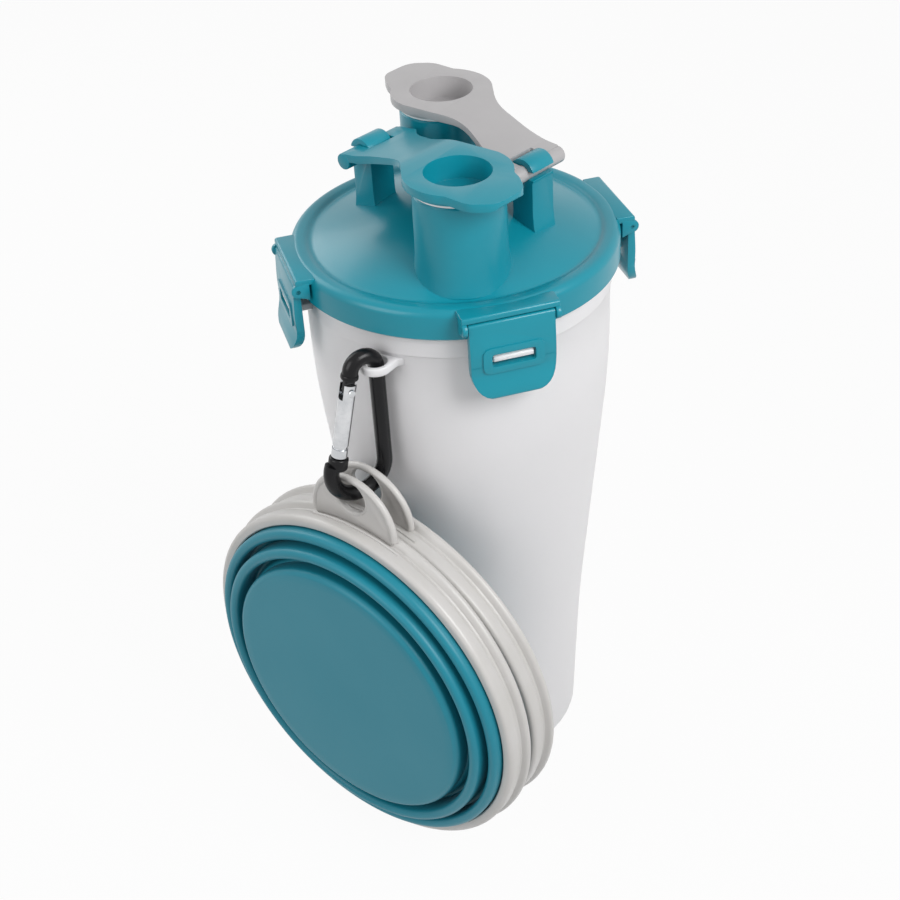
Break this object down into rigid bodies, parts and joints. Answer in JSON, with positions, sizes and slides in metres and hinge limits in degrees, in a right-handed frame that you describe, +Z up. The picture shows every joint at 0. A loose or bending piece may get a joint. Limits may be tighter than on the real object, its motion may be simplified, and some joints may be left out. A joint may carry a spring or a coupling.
{
  "type": "dog travel water bottle",
  "caption": "Two-chamber pet travel bottle with snap lid, flip caps, carabiner and nested folding bowls hung from an eyelet.",
  "frame": {"origin": "middle of the bottle's base, on the surface it stands on", "axes": "+Z up the bottle, -Y towards the side where the bowls hang, +X to the right seen from there"},
  "size_m": [0.13, 0.134, 0.2387],
  "materials": {
    "clear_wall": "milky see-through moulded wall, gloss outside",
    "lid_green": "teal moulded plastic, satin",
    "grey_cap": "light grey moulded plastic, satin",
    "white_seal": "soft white seal",
    "black_rod": "black coated rod",
    "bright_metal": "bright metal",
    "bowl_rim_grey": "warm light grey plastic, satin",
    "soft_green": "soft teal rubber, satin"
  },
  "bodies": {
    "bottle": {"bottle_shell": "clear_wall", "chamber_divider": "clear_wall"},
    "lid": {"lid_shell": "lid_green", "lid_gasket": "white_seal"},
    "tab_front": {"snap_tab_front": "lid_green"},
    "tab_right": {"snap_tab_right": "lid_green"},
    "tab_rear": {"snap_tab_rear": "lid_green"},
    "tab_left": {"snap_tab_left": "lid_green"},
    "water_cap": {"water_cap": "lid_green", "water_cap_seal": "white_seal"},
    "food_cap": {"food_cap": "grey_cap", "food_cap_seal": "white_seal"},
    "carabiner": {"carabiner_frame": "black_rod", "gate_rivet": "bright_metal"},
    "gate": {"carabiner_gate": "bright_metal", "gate_spring": "bright_metal", "gate_plunger": "bright_metal"},
    "front_bowl": {"front_bowl_rim": "bowl_rim_grey", "front_bowl_outer_ring": "soft_green", "front_bowl_outer_fold": "soft_green"},
    "front_bowl_middle": {"front_bowl_middle_ring": "soft_green", "front_bowl_inner_fold": "soft_green"},
    "front_bowl_floor": {"front_bowl_floor": "soft_green"},
    "rear_bowl": {"rear_bowl_rim": "bowl_rim_grey", "rear_bowl_outer_ring": "soft_green", "rear_bowl_outer_fold": "soft_green"},
    "rear_bowl_middle": {"rear_bowl_middle_ring": "soft_green", "rear_bowl_inner_fold": "soft_green"},
    "rear_bowl_floor": {"rear_bowl_floor": "soft_green"}
  },
  "joints": [
    {"name": "lid_lift", "type": "slide", "parent": "bottle", "child": "lid", "axis": [0, 0, 1], "range_m": [0, 0.01]},
    {"name": "tab_front_hinge", "type": "hinge", "parent": "lid", "child": "tab_front", "pos_m": [0.04456, -0.03086, 0.2013], "axis": [-0.5693, -0.8221, 0], "range_deg": [0, 97.5]},
    {"name": "tab_right_hinge", "type": "hinge", "parent": "lid", "child": "tab_right", "pos_m": [0.03086, 0.04456, 0.2013], "axis": [0.8221, -0.5693, 0], "range_deg": [0, 97.5]},
    {"name": "tab_rear_hinge", "type": "hinge", "parent": "lid", "child": "tab_rear", "pos_m": [-0.04456, 0.03086, 0.2013], "axis": [0.5693, 0.8221, 0], "range_deg": [0, 97.5]},
    {"name": "tab_left_hinge", "type": "hinge", "parent": "lid", "child": "tab_left", "pos_m": [-0.03086, -0.04456, 0.2013], "axis": [-0.8221, 0.5693, 0], "range_deg": [0, 97.5]},
    {"name": "water_cap_hinge", "type": "hinge", "parent": "lid", "child": "water_cap", "pos_m": [-0.02533, -0.00746, 0.22875], "axis": [-0.0854, -0.9963, 0], "range_deg": [0, 150]},
    {"name": "food_cap_hinge", "type": "hinge", "parent": "lid", "child": "food_cap", "pos_m": [0.02533, 0.00746, 0.22875], "axis": [0.0854, 0.9963, 0], "range_deg": [0, 150]},
    {"name": "carabiner_swing", "type": "hinge", "parent": "bottle", "child": "carabiner", "pos_m": [0.00796, -0.05609, 0.185], "axis": [-0.9415, 0.3371, 0], "range_deg": [0, 35]},
    {"name": "gate_hinge", "type": "hinge", "parent": "carabiner", "child": "gate", "pos_m": [0.00603, -0.06148, 0.18], "axis": [0.9415, -0.3371, 0], "range_deg": [0, 20], "stiffness_Nm_per_rad": 0.02, "springref_deg": -20.05},
    {"name": "front_bowl_swing", "type": "hinge", "parent": "carabiner", "child": "front_bowl", "pos_m": [0.0062, -0.062, 0.1423], "axis": [0, 1, 0], "range_deg": [-15, 15]},
    {"name": "rear_bowl_swing", "type": "hinge", "parent": "carabiner", "child": "rear_bowl", "pos_m": [0.0062, -0.05716, 0.1421], "axis": [0, 0.9991, 0.0419], "range_deg": [-15, 15]},
    {"name": "front_bowl_open", "type": "slide", "parent": "front_bowl", "child": "front_bowl_middle", "axis": [0, -1, 0], "range_m": [0, 0.016], "deforming": ["front_bowl_outer_fold", "front_bowl_inner_fold", "rear_bowl_outer_fold", "rear_bowl_inner_fold"]},
    {"name": "front_bowl_floor_open", "type": "slide", "parent": "front_bowl_middle", "child": "front_bowl_floor", "axis": [0, -1, 0], "range_m": [0, 0.016]},
    {"name": "rear_bowl_open", "type": "slide", "parent": "rear_bowl", "child": "rear_bowl_middle", "axis": [0, -0.9991, -0.0419], "range_m": [0, 0.016]},
    {"name": "rear_bowl_floor_open", "type": "slide", "parent": "rear_bowl_middle", "child": "rear_bowl_floor", "axis": [0, -0.9991, -0.0419], "range_m": [0, 0.016]}
  ],
  "couplings": [
    {"joint": "tab_front_hinge", "follows": "lid_lift", "rad_per_m": 170},
    {"joint": "tab_right_hinge", "follows": "lid_lift", "rad_per_m": 170},
    {"joint": "tab_rear_hinge", "follows": "lid_lift", "rad_per_m": 170},
    {"joint": "tab_left_hinge", "follows": "lid_lift", "rad_per_m": 170},
    {"joint": "rear_bowl_swing", "follows": "front_bowl_swing", "ratio": 1},
    {"joint": "front_bowl_floor_open", "follows": "front_bowl_open", "ratio": 1},
    {"joint": "rear_bowl_open", "follows": "front_bowl_open", "ratio": 1},
    {"joint": "rear_bowl_floor_open", "follows": "front_bowl_open", "ratio": 1}
  ]
}
